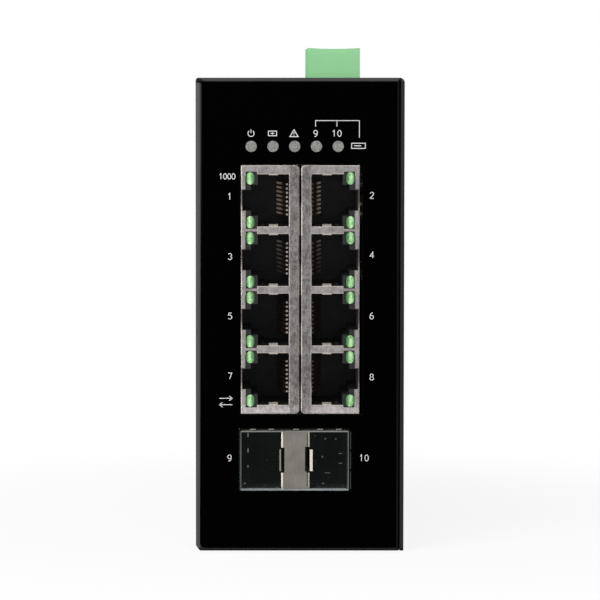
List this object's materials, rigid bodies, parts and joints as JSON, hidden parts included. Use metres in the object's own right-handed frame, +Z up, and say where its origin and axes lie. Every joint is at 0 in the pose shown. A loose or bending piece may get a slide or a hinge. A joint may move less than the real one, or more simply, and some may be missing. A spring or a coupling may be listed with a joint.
{
  "type": "din rail ethernet switch",
  "caption": "Narrow black sheet-metal network switch with ganged shielded jacks, a stacked optical-module cage, a green terminal plug and a rail clip.",
  "frame": {"origin": "on the surface it stands on, under the middle of the whole object", "axes": "+Z up along the case, front panel with the jacks faces -Y, side cover faces +X"},
  "size_m": [0.0488, 0.0948, 0.1185],
  "materials": {
    "case_coat": "fine satin powder coat",
    "panel_film": "printed film, low sheen",
    "black_screw": "blackened",
    "zinc": "zinc plated",
    "tin_shield": "bright tin plate",
    "cage_steel": "nickel plated",
    "spring_steel": "spring steel",
    "gold_contact": "gold plated",
    "black_moulding": "moulded, faint sheen",
    "green_pipe": "clear green light pipe",
    "frosted_pipe": "frosted light pipe",
    "board_green": "solder mask",
    "chip_black": "moulded",
    "lamp_white": "lamp chip",
    "sink_black": "anodised",
    "can_silver": "capacitor can",
    "relay_blue": "relay case",
    "terminal_green": "moulded, light green",
    "clip_steel": "zinc plated"
  },
  "bodies": {
    "switch": {"chassis": "case_coat", "side_cover": "case_coat", "cover_screws": "black_screw", "front_film": "panel_film", "status_light_pipes": "frosted_pipe", "light_pipe_holder": "black_moulding", "lamp_board": "board_green", "lamp_chips": "lamp_white", "jack_shield_left": "tin_shield", "jack_shield_right": "tin_shield", "jack_housing_left": "black_moulding", "jack_housing_right": "black_moulding", "jack_contacts_1": "gold_contact", "jack_contacts_2": "gold_contact", "port_light_pipes_1": "green_pipe", "port_light_pipes_2": "green_pipe", "jack_contacts_3": "gold_contact", "jack_contacts_4": "gold_contact", "port_light_pipes_3": "green_pipe", "port_light_pipes_4": "green_pipe", "jack_contacts_5": "gold_contact", "jack_contacts_6": "gold_contact", "port_light_pipes_5": "green_pipe", "port_light_pipes_6": "green_pipe", "jack_contacts_7": "gold_contact", "jack_contacts_8": "gold_contact", "port_light_pipes_7": "green_pipe", "port_light_pipes_8": "green_pipe", "module_cage": "cage_steel", "cage_divider": "cage_steel", "cage_fingers": "spring_steel", "latch_spring_9": "spring_steel", "module_connector_9": "black_moulding", "latch_spring_10": "spring_steel", "module_connector_10": "black_moulding", "main_board": "board_green", "board_supports": "zinc", "board_screws": "zinc", "switch_chip": "chip_black", "heat_sink": "sink_black", "small_chips": "chip_black", "capacitors": "can_silver", "power_board": "board_green", "power_spacers": "zinc", "alarm_relay": "relay_blue", "power_coils": "chip_black", "power_capacitors": "can_silver", "link_socket": "black_moulding", "link_pins": "gold_contact", "terminal_header": "terminal_green", "header_pins": "zinc", "rail_bracket": "clip_steel", "catch_spring": "spring_steel", "bracket_screws": "zinc", "ground_washer": "zinc", "ground_screw": "zinc"},
    "plug": {"terminal_plug": "terminal_green", "wire_clamps": "zinc", "clamp_screws": "zinc"},
    "catch": {"rail_catch": "clip_steel"}
  },
  "joints": [
    {"name": "plug_pull", "type": "slide", "parent": "switch", "child": "plug", "axis": [0, 0, 1], "range_m": [0, 0.01]},
    {"name": "catch_slide", "type": "slide", "parent": "switch", "child": "catch", "axis": [0, 0, -1], "range_m": [0, 0.0045], "stiffness_N_per_m": 800, "springref_m": -0.003, "deforming": ["catch_spring"]}
  ]
}
